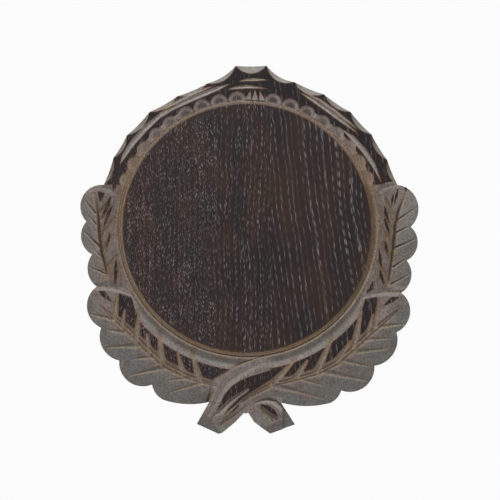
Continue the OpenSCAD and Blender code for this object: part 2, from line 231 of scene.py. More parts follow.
# Slivers of the stained face left standing on the leaves and stems: (x, z, half width).
islands = [
    [(-97.8, 26.5, 1.5), (-97.2, 23, 3), (-98.2, 18, 0.6)],
    [(-91, 20.5, 0.3), (-92.5, 16.5, 1.6), (-96, 9, 0.4)],
    [(-90, 14.5, 0.3), (-92, 10.5, 1.6), (-95.8, 0, 0.4)],
    [(-91.5, -3, 0.2), (-92.3, -8, 0.9), (-94, -13, 0.3)],
    [(-87.2, -21, 0.3), (-87.6, -29, 1.7), (-88, -37, 0.5)],
    [(-88.5, 37, 1.5), (-88.6, 27, 1.5)],
    [(100.6, 25.5, 0.4), (99.6, 21.5, 1.1), (98.2, 15.5, 0.3)],
    [(97.8, 22.5, 0.3), (97, 19.5, 0.9), (96.3, 14.5, 0.3)],
    [(91.8, 14, 0.3), (92.6, 9.5, 1.5), (94.7, 4, 0.3)],
    [(91.5, 6.5, 0.3), (92.9, 2, 1.4), (95.5, -6, 0.3)],
    [(91.8, -9, 0.3), (92.8, -13, 1.3), (94.4, -19, 0.3)],
    [(88, -14, 0.3), (88.8, -21, 1.5), (89.4, -25.5, 0.4)],
    [(88.6, -28, 0.3), (89.4, -32, 1.6), (91, -37, 0.4)],
    [(83.8, -36, 0.3), (83, -39.5, 1.6), (82, -44, 0.4)],
    [(-99, -41.5, 0.5), (-96, -44, 2.4), (-91, -48.5, 0.6)],
    [(101, -46.3, 0.4), (96.5, -48, 2.2), (92, -51.5, 0.6)],
    [(2.6, -108.8, 1), (-4.6, -115.4, 2.4), (-10.6, -121.2, 2.4), (-16, -126.6, 0.6)],
    [(9.2, -118, 0.4), (13.5, -119.8, 2), (17.5, -122.8, 2), (20, -125.6, 0.5)],
]

# Veins of the inner halves, each from its thin end to its root: (x, z, x, z, root width, depth).
inner_veins = [
    (-90.5, 20, -97.5, 10, 1.7, 1.4), (-91, 14.5, -97, 5, 1.7, 1.4),
    (-88.5, 6, -97.5, -7, 2.2, 1.6), (-90.5, -5, -96, -16, 1.7, 1.4),
    (-87.5, -19, -94.5, -30, 2.4, 1.6), (-90, -22, -93, -33, 1.4, 1.0),
    (-84.5, -24, -86, -38, 1.3, 0.8),
    (92.5, 19, 99.5, 3, 1.8, 1.4), (93, 5, 98.3, -4, 1.7, 1.3), (89.5, 0, 97.5, -15, 2.2, 1.6),
    (91, -10, 96.3, -23, 2.0, 1.5), (87.5, -23, 94.5, -37, 2.4, 1.6), (88, 15, 92.5, 3, 1.2, 0.8),
    (-86.5, -44.5, -88.5, -61, 1.9, 1.8), (-81.5, -55, -83.5, -66.5, 1.7, 1.5),
    (-72, -57, -74, -76.5, 2.3, 1.9), (-66.5, -71, -65.5, -83, 2.0, 1.6),
    (-58.5, -69.5, -56.5, -92, 2.5, 2.0), (-46, -84, -42.5, -98, 2.2, 1.6),
    (-37, -82, -31.5, -102, 2.3, 1.8),
    (88, -49, 85.5, -66.5, 2.0, 1.7), (84, -58, 80, -72, 1.6, 1.5),
    (76, -56, 71.5, -79.5, 2.4, 1.9), (69, -76, 61, -88.5, 2.4, 1.7),
    (57, -72.5, 46.5, -96.5, 2.4, 1.9), (40, -89, 33, -99.5, 2.2, 1.6),
    (31.5, -88.5, 17, -104.5, 2.4, 1.8),
]

# Veins of the outer lobes: (x, z, x, z, root width, depth).
outer_veins = [
    (-110, 20, -101, 9.5, 1.1, 0.9), (-107, 9, -100.5, 2, 1.0, 0.8),
    (-110, -1.5, -98, -13, 1.3, 1.0), (-103, -14, -96.5, -20, 1.0, 0.8),
    (-106, -26, -94.5, -31, 1.0, 0.8),
    (114, 14, 100.5, 5, 1.1, 0.8), (109.5, 1.5, 99.5, -3.5, 1.1, 0.9),
    (114, -7, 99, -13.5, 1.2, 0.9), (107, -20.5, 97.5, -26.5, 1.1, 0.9),
    (109.5, -31, 96, -38, 1.1, 0.8),
    (-105, -57.8, -90, -61, 1.1, 0.9), (-94, -68.5, -82, -69.5, 1.2, 0.9),
    (-95, -80.2, -73, -78.5, 1.3, 1.0), (-76, -87.8, -63, -86.2, 1.1, 0.9),
    (-78, -98.8, -55, -93, 1.3, 1.1), (-53, -102, -37, -100, 1.1, 0.8),
    (-51, -110, -31, -103.5, 1.0, 0.7),
    (105, -64.5, 88, -66, 1.1, 0.9), (95, -74, 79, -74.5, 1.2, 0.9), (94, -81, 74, -82.5, 1.2, 1.0),
    (82, -93, 65, -88.6, 1.1, 0.9), (83, -103, 52, -96, 1.4, 1.1), (51, -105.5, 37, -101, 1.0, 0.8),
    (52, -114.5, 18, -105, 1.4, 1.0),
]

# Where the top edge of one leaf stands over the leaf or ground behind it.
leaf_edges = [
    ([(-104, 25.5, 2.5, 0.6), (-98.5, 27, 3.2, 1.3), (-92, 25.5, 3.5, 1.2), (-87, 22.5, 1.5, 0.4)],
     SHELF_RIGHT),
    ([(87, 22.5, 1.5, 0.4), (92, 26.5, 3.5, 1.2), (98, 28.4, 3.2, 1.5), (102, 28.8, 2, 0.8)],
     SHELF_LEFT),
    ([(-101, -40.5, 3.2, 1.6), (-92, -39.6, 4, 1.9), (-84, -42, 3.6, 1.6), (-76, -46, 2, 0.6)],
     SHELF_LEFT),
    ([(78, -47, 2, 0.6), (84, -44.6, 3.6, 1.5), (92, -43.2, 4, 1.9), (103.5, -43.4, 3.2, 1.6)],
     SHELF_LEFT),
]

# The band that the right-hand stem makes as it sweeps down to the left, walked downhill: its
# upper edge, its crease and its lower edge. The wedge is the light facet cut below them.
band_top = [(22, -82), (10.8, -85.7), (-1.2, -89.8), (-8.7, -93.2), (-16.2, -97.4), (-22.6, -101.4),
            (-24.2, -107), (-25.5, -114), (-30, -124)]
band_crease = [(14, -89, 1.5, 0.3), (3, -93.8, 3.5, 1.2), (-5, -98, 4, 1.5),
               (-12.5, -103.3, 4, 1.7), (-16, -108, 3.4, 1.6), (-20.5, -116, 2.4, 1.5),
               (-25.6, -125.5, 1.2, 0.8)]
band_foot = [(40, -86), (25, -92.5), (11.5, -96.3), (2.5, -99), (-5, -102), (-10.2, -105),
             (-14.7, -110.3), (-18.9, -119.4), (-23, -127)]
wedge_top = [(-0.7, -107.6, 0.5, 0.4), (-6.5, -111.4, 2.4, 1.3), (-12.4, -115.4, 3.8, 1.8),
             (-18, -120.8, 4.8, 1.8), (-22.5, -125.5, 2.8, 0.8)]
# Where the left-hand leaf ends at its stem, and the lines on which the stems' sawn ends start,
# walked with the sawn side on the right.
left_stem_side = [(-18, -98), (-22, -110), (-26.5, -118.5), (-36, -133)]
stem_ends = [[(-27.5, -125), (-19, -133)], [(14, -131), (27, -125.5)]]

# Broad cuts on the stems, and two fine lines over the tips of the upper leaves.
stem_cuts = [
    (band_crease, V_TOOL), (wedge_top, CLIFF_LEFT),
    ([(4, -118, 1.5, 0.5), (9.5, -114.8, 3.2, 1.6), (14, -113.9, 4.2, 2.3), (19, -115.2, 4.4, 2.6),
      (22.7, -118.4, 3.5, 2.4), (25, -122, 2, 1.5)], CLIFF_RIGHT),
    ([(88.5, 26.5, 0.4, 0.3), (92.5, 29.4, 0.9, 0.9), (97, 30.2, 0.9, 0.9), (101, 29, 0.4, 0.3)],
     V_TOOL),
    ([(-90, 25.5, 0.4, 0.3), (-93, 28.2, 0.9, 0.8), (-97.5, 28.8, 0.4, 0.3)], V_TOOL),
]

# Short nicks on the stems, whose edges are golden.
stem_nicks = [
    ([(-18, -111, 0.4, 0.3), (-21.5, -118, 0.9, 0.9), (-24, -124, 0.5, 0.4)], V_TOOL),
    ([(0, -119, 0.5, 0.3), (-8, -125.5, 1.8, 0.9), (-17, -132, 2.2, 1.2)], CLIFF_RIGHT),
    ([(-5, -116.5, 0.6, 0.4), (-12, -123, 1.3, 0.8), (-19, -129, 0.8, 0.5)], V_TOOL),
    ([(7, -118.6, 0.6, 0.5), (12, -124, 1.4, 1.1), (17, -129.4, 1.0, 0.8)], V_TOOL),
    ([(9.5, -119, 0.5, 0.4), (14, -123.8, 1.1, 0.9), (19, -128.4, 0.8, 0.6)], V_TOOL),
    ([(20, -121.5, 0.5, 0.4), (22.5, -127, 1.1, 0.9)], V_TOOL),
    ([(9, -127, 0.4, 0.3), (14, -131.5, 0.8, 0.6)], V_TOOL),
    ([(-24, -107, 0.6, 0.3), (-24.8, -112.5, 1.5, 1.6), (-27, -119, 1.5, 2.4)], SHELF_RIGHT),
]


def upper_leaves(z):
    """1 at the heights of the two upper leaves."""
    return ease(30, 27, z) * ease(-42, -39, z)


def lower_leaves(z):
    """1 at the heights of the two lower leaves."""
    return ease(-38, -42, z)


def slivers(x, z):
    """1 where the stained face is left standing on the leaves and stems."""
    stands = np.zeros_like(x)
    for path in islands:
        stands = np.maximum(stands, cut(x, z, [(*point, 1) for point in path]))
    return ease(0.05, 0.3, stands)


def leaf_slopes(x, z):
    """The outer halves of the leaves, which slope down to the edge of the board."""
    fall = math.tan(math.radians(lobe_slope))
    drop = {leaf: fall * np.maximum(aside(x, z, line, True)[0], 0) for leaf, line in hinges.items()}
    left_stem, _ = aside(x, z, left_stem_side, True)
    deep = drop["upper_left"] * upper_leaves(z) * (x < -88)
    deep = np.maximum(deep, drop["upper_right"] * upper_leaves(z) * (x > 88))
    deep = np.maximum(deep, drop["lower_left"] * lower_leaves(z) * ease(0.4, -0.4, left_stem)
                      * (x < -15))
    # On its own stem the right-hand leaf stops falling.
    on_stem = ease(-112, -117, z) * ease(24.5, 23.5, x)
    right = drop["lower_right"] * (1 - on_stem) + np.minimum(drop["lower_right"], 1.9) * on_stem
    return np.maximum(deep, right * lower_leaves(z) * (x > -24))


def leaf_bed(x, z):
    """1 where the upper leaves' inner halves and the lower leaves' tips are hollowed."""
    r = np.hypot(x, z)
    bed = ease(ring_r - 0.3, ring_r + 0.7, r) * ease(109, 107.5, r) * upper_leaves(z) \
        * (np.abs(x) > 80)
    tips = ease(-85, -86.5, x) * ease(-60, -56, z) + ease(86, 87.5, x) * ease(-64, -60, z)
    return np.maximum(bed, tips * lower_leaves(z))


def ground(x, z, bowls, turned, stands):
    """Depth of the broad cuts: crest, ring, cove, leaves and stems."""
    over_band, _ = aside(x, z, band_top, True)
    under_band, _ = aside(x, z, band_foot, True)
    band = ease(-0.3, 0.3, over_band) * ease(0.3, -0.3, under_band) * ease(22, 8, x) * (z < -80)
    left_stem, _ = aside(x, z, left_stem_side, True)
    under_wedge, _ = aside(x, z, wedge_top, True)
    stem = ease(0, 1, left_stem) * ease(-0.2, 0.4, under_wedge) * (z < -107) * ease(2, 0, x)
    # Down both sides the thumbnail cuts run into each other at the ring.
    r = np.hypot(x, z)
    off_top = np.abs(np.degrees(np.arctan2(x, z)))
    joined = ease(85.1, 85.3, r) * ease(89.4, 88.4, r) * ease(22, 32, off_top) * (z > 26)
    deep = np.maximum.reduce([
        scallops(x, z), bowls, turned, 0.6 * joined, cove(x, z) * (1 - band), leaf_slopes(x, z),
        0.9 * stem, 0.6 * band, 0.55 * leaf_bed(x, z)])
    # A sliver on an upper leaf is cut down a little. One lower down keeps the face.
    deep = deep * (1 - stands * np.where(z > -60, 0.78, 1))
    # A shallow hollow takes each midrib.
    for rib in ribs.values():
        path = [(px, pz, half + (2.2 if pz > -110 else 0.2), 0.5) for px, pz, half, _ in rib]
        deep = np.maximum(deep, cut(x, z, path, GOUGE))
    for line in stem_ends:
        sawn = np.maximum(-aside(x, z, line, True)[0], 0) * (z < -122)
        deep = np.maximum(deep, 0.9 * (sawn > 0) + math.tan(math.radians(sawn_slope)) * sawn)
    return deep


def mark(tones, name, amount):
    """Gives the wood at least this much of a tone."""
    tones[name] = np.maximum(tones[name], amount)


def strokes_and_nicks(x, z, tones):
    """Depth of the crest's strokes, the leaves' top edges and the cuts on the stems."""
    fine = np.zeros_like(x)
    for stroke in crest_strokes:
        groove = cut(x, z, stroke)
        fine = np.maximum(fine, groove)
        mark(tones, "pale_and_highlight", 0.7 * ease(0.15, 0.5, groove))
        mark(tones, "gold", 0.45 * ease(0.08, 0.2, groove) * ease(0.7, 0.3, groove))
    band_line = cut(x, z, [(*point, 0.8, 0.9) for point in band_top[1:8]])
    fine = np.maximum(fine, band_line)
    mark(tones, "gold", 0.8 * ease(0.2, 0.7, band_line))
    for stroke, tool in stem_nicks:
        mark(tones, "gold", 0.8 * ease(0.3, 0.8, cut(x, z, stroke, tool)))
    for stroke, tool in leaf_edges + stem_cuts + stem_nicks:
        groove = cut(x, z, stroke, tool)
        fine = np.maximum(fine, groove)
        shine = 0.9 if tool in (CLIFF_LEFT, CLIFF_RIGHT) else 0.45
        mark(tones, "gold", 0.3 * ease(0.8, 1.6, groove))
        mark(tones, "pale_and_highlight", shine * ease(0.2, 0.8, groove))
    return fine


def ribs_and_veins(x, z, stands, tones):
    """Depth of the midribs and of the veins, which run out into slivers on the inner halves."""
    fine = np.zeros_like(x)
    for leaf, rib in ribs.items():
        if leaf.startswith("upper"):
            groove = cut(x, z, rib)
            mark(tones, "grime_and_shade", 0.9 * ease(0.45, 0.95, groove))
            mark(tones, "gold", 0.5 * ease(0.1, 0.5, groove))
        else:
            groove = cut(x, z, rib, RIB)
            mark(tones, "gold", 0.6 * np.clip(groove / 1.4, 0, 1))
            mark(tones, "grime_and_shade", 0.5 * ease(0.35, 0.0, np.abs(aside(x, z, rib, False)[0])))
        fine = np.maximum(fine, groove)
    for ax, az, bx, bz, half, deep in inner_veins:
        groove = cut(x, z, [(ax, az, half * 0.7, 0.6), (bx, bz, half * 1.35, deep)]) * (1 - stands)
        fine = np.maximum(fine, groove)
        share = groove / deep
        rich, filled = (0.65, 0.45) if az > -40 else (0.55, 0.3)
        edge = filled + (rich - filled) * ease(0.55, 0.3, share)
        mark(tones, "pale_and_highlight", 0.5 * ease(0.3, 0.6, share))
        mark(tones, "gold", edge * ease(0.06, 0.16, share))
        mark(tones, "gold", 0.4 * ease(0.85, 1.0, share))
    for ax, az, bx, bz, half, deep in outer_veins:
        broad, gilt = (1.0, 0.2) if az > -38 else (1.9, 0.5)
        vein = [(ax, az, 0.6, 0.3), (bx, bz, half * broad, deep)]
        groove = cut(x, z, vein)
        fine = np.maximum(fine, groove)
        # Painted shade lies along a vein's upper wall, which faces down, and a painted highlight
        # along its lower wall, which faces up to the lamp above.
        mark(tones, "grime_and_shade", (0.95 / broad) * ease(0.25, 0.6, cut(x, z - 0.25, vein)))
        mark(tones, "pale_and_highlight", 0.52 * broad * ease(0.05, 0.4, cut(x, z + 0.5, vein)))
        mark(tones, "gold", gilt * ease(0.03, 0.15, groove) * ease(0.7, 0.3, groove))
    return fine


def tone_ring(x, z, turned, tones):
    """On the ring, bright lines show where the tool lifted and brown ones where it bit."""
    out = np.hypot(x, z) - field_r
    east = ease(50, 75, x)
    below = ease(40, 24, z)
    bright = np.interp(out, (-0.2, 0.1, 0.5, 0.9, 1.4, 2.9, 3.4, 3.9, 4.4, 4.9, 5.5),
                       (1, 1, 0.35, 0.3, 0.7, 0.7, 0.2, 0.2, 0.5, 0.4, 0))
    brown = np.interp(out, (0.1, 0.6, 1.1, 1.8, 2.2, 2.6, 3.0, 3.6, 4.1),
                      (0, 1, 0, 0, 0.9, 0, 0, 1, 0))
    worn = np.interp(out, (0.7, 1.2, 1.8, 2.4, 2.9, 3.4, 3.9, 4.4, 5.0),
                     (0, 0.7, 0, 0, 0.7, 0, 0, 1, 0))
    bright_east = np.interp(out, (-0.3, 0.2, 0.6, 3.2, 3.8, 4.4, 5.1), (1, 1, 0.6, 0.6, 1, 0.4, 0))
    brown_east = np.interp(out, (0.2, 0.7, 2.9, 3.5), (0, 1, 0.8, 0))
    brown_top = np.interp(out, (-0.3, 0.1, 0.9, 1.5), (0, 1, 1, 0))
    mark(tones, "grime_and_shade", below * (0.8 * brown * (1 - east) + 0.65 * brown_east * east))
    mark(tones, "grime_and_shade", 0.45 * brown_top * ease(20, 40, z))
    shine = bright * (1 - east) + bright_east * east
    mark(tones, "gold", ease(0.2, 0.6, turned) * shine * np.interp(z, (20, 80), (1, 0.5)))
    mark(tones, "pale_and_highlight", 0.7 * below * worn)


def carving(x, z):
    """Depth below the face at each point, and how bare, golden, grimy or darkened by painted shade,
    pale or lit by a painted highlight, smoked and rubbed the wood there is."""
    r = np.hypot(x, z)
    bowls, hearts = thumbnails(x, z)
    turned = ring(x, z)
    stands = slivers(x, z)
    tones = {name: np.zeros_like(x) for name in ("gold", "grime_and_shade", "pale_and_highlight")}
    depth = ground(x, z, bowls, turned, stands) \
        + np.maximum(strokes_and_nicks(x, z, tones), ribs_and_veins(x, z, stands, tones))
    tone_ring(x, z, turned, tones)
    # The crest's scallops carry a painted highlight that grows towards the top, where they face up
    # to the lamp; the cove is pale, and so are the lobes of the upper right leaf.
    mark(tones, "pale_and_highlight", ease(0.2, 1.2, scallops(x, z)) * np.interp(z, (30, 60, 100), (0, 0.2, 0.6)))
    mark(tones, "pale_and_highlight", 0.25 * ease(0.5, 2, cove(x, z)))
    mark(tones, "pale_and_highlight", 0.45 * ease(94, 98, x) * ease(-12, 12, z) * ease(32, 28, z))
    # The lowest thumbnail cuts are golden, and the hollowed inner halves of the upper leaves are
    # darkened with painted shade.
    mark(tones, "gold", 0.5 * ease(66, 40, z) * (z > 20) * (r > 85) * ease(91, 89, r))
    inwards = np.where(x < 0, -aside(x, z, hinges["upper_left"], True)[0],
                       -aside(x, z, hinges["upper_right"], True)[0])
    mark(tones, "grime_and_shade", 0.28 * leaf_bed(x, z) * upper_leaves(z) * ease(-1, 1, inwards))
    tones["bare"] = ease(0.1, 0.4, depth)
    # Stain has run back into the hearts of the top thumbnail cuts.
    tones["smoked"] = hearts * np.interp(z, (50, 80), (0.1, 0.8))
    # Lime has been rubbed off the proud faces outside the ring.
    tones["rubbed"] = ease(86, 90, r) * np.interp(z, (-60, 40, 70), (0.3, 0.6, 0.8))
    return depth, tones


def node(tree, kind, settings=None, **inputs):
    """Adds a shader node. An input is a value or another node's output socket."""
    made = tree.nodes.new(kind)
    for name, value in (settings or {}).items():
        setattr(made, name, value)
    for name, value in inputs.items():
        key = int(name[1:]) if name[0] == "i" and name[1:].isdigit() else name.replace("_", " ")
        if isinstance(value, bpy.types.NodeSocket):
            tree.links.new(value, made.inputs[key])
        else:
            made.inputs[key].default_value = value
    return made


def limed_pores(tree, at, across, upright, row, pore_wide, pore_long, crowd, scatter, seed):
    """Oak's open pores: dashes along the grain, in mm, that crowd into a row at each year ring.
    Gives where they are and how much white lime they hold."""
    # Good years stand wider apart than poor ones.
    growth = node(tree, "ShaderNodeTexNoise", {"noise_dimensions": "1D"}, W=across, Scale=0.16,
                  Detail=1.0).outputs["Fac"]
    growth = node(tree, "ShaderNodeMath", {"operation": "MULTIPLY"}, i0=growth, i1=7.0).outputs[0]
    turns = node(tree, "ShaderNodeMath", {"operation": "MULTIPLY_ADD"}, i0=across,
                 i1=2 * math.pi / row, i2=growth).outputs[0]
    wave = node(tree, "ShaderNodeMath", {"operation": "SINE"}, i0=turns).outputs[0]
    year = node(tree, "ShaderNodeMapRange", {"interpolation_type": "SMOOTHSTEP"}, Value=wave,
                From_Min=0.35, From_Max=0.95, To_Min=crowd[0], To_Max=crowd[1]).outputs[0]
    # Each file of pores starts at its own height, so that they don't line up across the board.
    lane = node(tree, "ShaderNodeMath", {"operation": "MULTIPLY_ADD"}, i0=across,
                i1=1 / pore_wide, i2=seed).outputs[0]
    lane = node(tree, "ShaderNodeMath", {"operation": "FLOOR"}, i0=lane).outputs[0]
    start = node(tree, "ShaderNodeTexWhiteNoise", {"noise_dimensions": "1D"}, W=lane)
    along = node(tree, "ShaderNodeMath", {"operation": "MULTIPLY_ADD"}, i0=start.outputs["Value"],
                 i1=9.3 * pore_long, i2=upright).outputs[0]
    board = node(tree, "ShaderNodeCombineXYZ", X=across, Y=along).outputs[0]
    cell = node(tree, "ShaderNodeMapping", {"vector_type": "POINT"}, Vector=board,
                Location=(seed, seed * 0.7, 0), Scale=(1 / pore_wide, 1 / pore_long, 1)).outputs[0]
    pores = node(tree, "ShaderNodeTexVoronoi", {"feature": "F1", "voronoi_dimensions": "2D"},
                 Vector=cell, Scale=1.0, Randomness=scatter)
    chance = node(tree, "ShaderNodeSeparateColor", Color=pores.outputs["Color"])
    chosen = node(tree, "ShaderNodeMath", {"operation": "LESS_THAN"}, i0=chance.outputs[0],
                  i1=year).outputs[0]
    spot = node(tree, "ShaderNodeMapRange", {"interpolation_type": "SMOOTHSTEP"},
                Value=pores.outputs["Distance"], From_Min=0.46, From_Max=0.18, To_Min=0.0,
                To_Max=1.0).outputs[0]
    pore = node(tree, "ShaderNodeMath", {"operation": "MULTIPLY"}, i0=spot, i1=chosen).outputs[0]
    filled = node(tree, "ShaderNodeMath", {"operation": "POWER"}, i0=chance.outputs[1],
                  i1=1.7).outputs[0]
    filled = node(tree, "ShaderNodeMapRange", Value=filled, From_Min=0.0, From_Max=1.0,
                  To_Min=0.15, To_Max=1.0).outputs[0]
    patch = node(tree, "ShaderNodeTexNoise", Vector=at, Scale=0.06, Detail=2.0).outputs["Fac"]
    patch = node(tree, "ShaderNodeMapRange", Value=patch, From_Min=0.35, From_Max=0.65,
                 To_Min=0.5, To_Max=1.2).outputs[0]
    # Some years took the lime better than others.
    taken = node(tree, "ShaderNodeTexNoise", {"noise_dimensions": "1D"}, W=across, Scale=0.35,
                 Detail=1.0).outputs["Fac"]
    taken = node(tree, "ShaderNodeMapRange", Value=taken, From_Min=0.35, From_Max=0.65,
                 To_Min=0.6, To_Max=1.4).outputs[0]
    lime = pore
    for share in (filled, patch, taken):
        lime = node(tree, "ShaderNodeMath", {"operation": "MULTIPLY"}, i0=lime, i1=share).outputs[0]
    return pore, lime


def cut_wood(tree, at, depth, fibre, tones):
    """Freshly cut oak: taupe, greyer in deep cuts, pale, golden or dirty where the carving says so,
    lighter with painted highlights and darker with painted shade where it says so too, and streaked
    along the grain."""
    cloud = node(tree, "ShaderNodeTexNoise", Vector=at, Scale=0.045, Detail=3.0).outputs["Fac"]
    cloud = node(tree, "ShaderNodeMapRange", {"interpolation_type": "SMOOTHSTEP"}, Value=cloud,
                 From_Min=0.36, From_Max=0.64, To_Min=0.0, To_Max=1.0).outputs[0]
    deep = node(tree, "ShaderNodeMapRange", Value=depth, From_Min=0.7 - board_t,
                From_Max=4.0 - board_t, To_Min=0.0, To_Max=1.0).outputs[0]
    drift = node(tree, "ShaderNodeTexNoise", Vector=at, Scale=0.14, Detail=2.0).outputs["Fac"]
    drift = node(tree, "ShaderNodeMapRange", Value=drift, From_Min=0.4, From_Max=0.65,
                 To_Min=0.0, To_Max=0.55).outputs[0]
    # The pale hue also paints highlights on faces turned up to the lamp, and the grime hue paints
    # shade in hollows and on vein walls that face down.
    wood = linear("#948680")
    for share, hue in ((cloud, "#8a817c"), (deep, "#80817c"), (drift, "#7f6d69"),
                       (tones["pale_and_highlight"], "#a39e98"), (tones["gold"], "#8e714c"),
                       (tones["grime_and_shade"], "#3f3128")):
        wood = node(tree, "ShaderNodeMix", {"data_type": "RGBA"}, i0=share, i6=wood,
                    i7=linear(hue)).outputs[2]
    streak = node(tree, "ShaderNodeMapRange", Value=fibre, From_Min=0.3, From_Max=0.7,
                  To_Min=0.85, To_Max=1.15).outputs[0]
    mottle = node(tree, "ShaderNodeTexNoise", Vector=at, Scale=0.8, Detail=3.0,
                  Roughness=0.65).outputs["Fac"]
    mottle = node(tree, "ShaderNodeMapRange", Value=mottle, From_Min=0.3, From_Max=0.7,
                  To_Min=0.66, To_Max=1.34).outputs[0]
    shade = node(tree, "ShaderNodeMath", {"operation": "MULTIPLY"}, i0=streak, i1=mottle)
    return node(tree, "ShaderNodeVectorMath", {"operation": "SCALE"}, i0=wood,
                Scale=shade.outputs[0]).outputs[0]


def blank_material(name):
    """A new material and its node tree, still empty."""
    made = bpy.data.materials.new(name)
    made.use_nodes = True
    made.node_tree.nodes.clear()
    return made, made.node_tree


def stained_oak(name, lean, **pores):
    """Flat-sawn oak, stained nearly black and limed so that its pores show white, and carved
    through to paler wood. The grain leans to the left by this much for each mm upwards."""
    made, tree = blank_material(name)
    here = node(tree, "ShaderNodeTexCoord").outputs["Object"]
    at = node(tree, "ShaderNodeVectorMath", {"operation": "SCALE"}, i0=here,
              Scale=1000.0).outputs[0]
    part = node(tree, "ShaderNodeSeparateXYZ", Vector=at)
    # The grime and pale tones carry painted shade and painted highlights as well as dirt and pale
    # wood.
    tones = {tone: node(tree, "ShaderNodeAttribute", {"attribute_name": tone}).outputs["Fac"]
             for tone in ("bare", "gold", "grime_and_shade", "pale_and_highlight", "smoked", "rubbed")}
    # How far across the grain a point is, in mm. The grain wanders as it goes up the board.
    wander = node(tree, "ShaderNodeTexNoise", {"noise_dimensions": "3D"}, Vector=at, Scale=0.02,
                  Detail=1.0).outputs["Fac"]
    tilt = node(tree, "ShaderNodeMath", {"operation": "MULTIPLY"}, i0=part.outputs["Z"], i1=lean)
    across = node(tree, "ShaderNodeMath", {"operation": "MULTIPLY_ADD"}, i0=wander, i1=7.0,
                  i2=part.outputs["X"])
    across = node(tree, "ShaderNodeMath", {"operation": "ADD"}, i0=across.outputs[0],
                  i1=tilt.outputs[0]).outputs[0]
    pore, lime = limed_pores(tree, at, across, part.outputs["Z"], **pores)
    kept = node(tree, "ShaderNodeMapRange", Value=tones["rubbed"], From_Min=0.0, From_Max=1.0,
                To_Min=1.0, To_Max=0.35).outputs[0]
    lime = node(tree, "ShaderNodeMath", {"operation": "MULTIPLY"}, i0=lime, i1=kept).outputs[0]
    # Fibres, drawn about 0.7 mm wide because the real ones are too fine to show.
    grain = node(tree, "ShaderNodeCombineXYZ", X=across, Y=part.outputs["Y"],
                 Z=part.outputs["Z"]).outputs[0]
    strand = node(tree, "ShaderNodeMapping", {"vector_type": "POINT"}, Vector=grain,
                  Scale=(1.4, 1.4, 0.07)).outputs[0]
    fibre = node(tree, "ShaderNodeTexNoise", Vector=strand, Scale=1.0, Detail=3.0,
                 Roughness=0.6).outputs["Fac"]
    fleck = node(tree, "ShaderNodeMapRange", Value=fibre, From_Min=0.3, From_Max=0.75,
                 To_Min=0.0, To_Max=0.35).outputs[0]
    # The black stain lets brown through in long clouds.
    long_cloud = node(tree, "ShaderNodeMapping", {"vector_type": "POINT"}, Vector=at,
                      Scale=(0.05, 0.05, 0.02)).outputs[0]
    brown = node(tree, "ShaderNodeTexNoise", Vector=long_cloud, Scale=1.0,
                 Detail=2.0).outputs["Fac"]
    brown = node(tree, "ShaderNodeMapRange", {"interpolation_type": "SMOOTHSTEP"}, Value=brown,
                 From_Min=0.35, From_Max=0.68, To_Min=0.0, To_Max=1.0).outputs[0]
    face = linear("#292225")
    for share, hue in ((brown, "#3b2a22"), (fleck, "#4a403e"), (tones["rubbed"], "#262123"),
                       (lime, "#aaa09e")):
        face = node(tree, "ShaderNodeMix", {"data_type": "RGBA"}, i0=share, i6=face,
                    i7=linear(hue)).outputs[2]
    wood = cut_wood(tree, at, part.outputs["Y"], fibre, tones)
    # A thin brown line shows where a tool breaks through the stain.
    rim = node(tree, "ShaderNodeMapRange", Value=tones["bare"], From_Min=0.0, From_Max=0.45,
               To_Min=0.0, To_Max=1.0).outputs[0]
    through = node(tree, "ShaderNodeMapRange", Value=tones["bare"], From_Min=0.45, From_Max=0.95,
                   To_Min=0.0, To_Max=1.0).outputs[0]
    colour = face
    for share, below in ((rim, linear("#6c4933")), (through, wood), (tones["smoked"], face)):
        colour = node(tree, "ShaderNodeMix", {"data_type": "RGBA"}, i0=share, i6=colour,
                      i7=below).outputs[2]
    rough = node(tree, "ShaderNodeMapRange", Value=tones["bare"], From_Min=0.0, From_Max=1.0,
                 To_Min=0.55, To_Max=0.8).outputs[0]
    pit = node(tree, "ShaderNodeMath", {"operation": "MULTIPLY"}, i0=pore, i1=-0.5).outputs[0]
    height = node(tree, "ShaderNodeMath", {"operation": "MULTIPLY_ADD"}, i0=fibre, i1=0.5,
                  i2=pit).outputs[0]
    bump = node(tree, "ShaderNodeBump", Height=height, Strength=0.35, Distance=0.0004).outputs[0]
    # Dry wood with no varnish has less sheen than a filled surface.
    shader = node(tree, "ShaderNodeBsdfPrincipled", Base_Color=colour, Roughness=rough,
                  Specular_IOR_Level=0.3, Normal=bump)
    node(tree, "ShaderNodeOutputMaterial", Surface=shader.outputs[0])
    return made


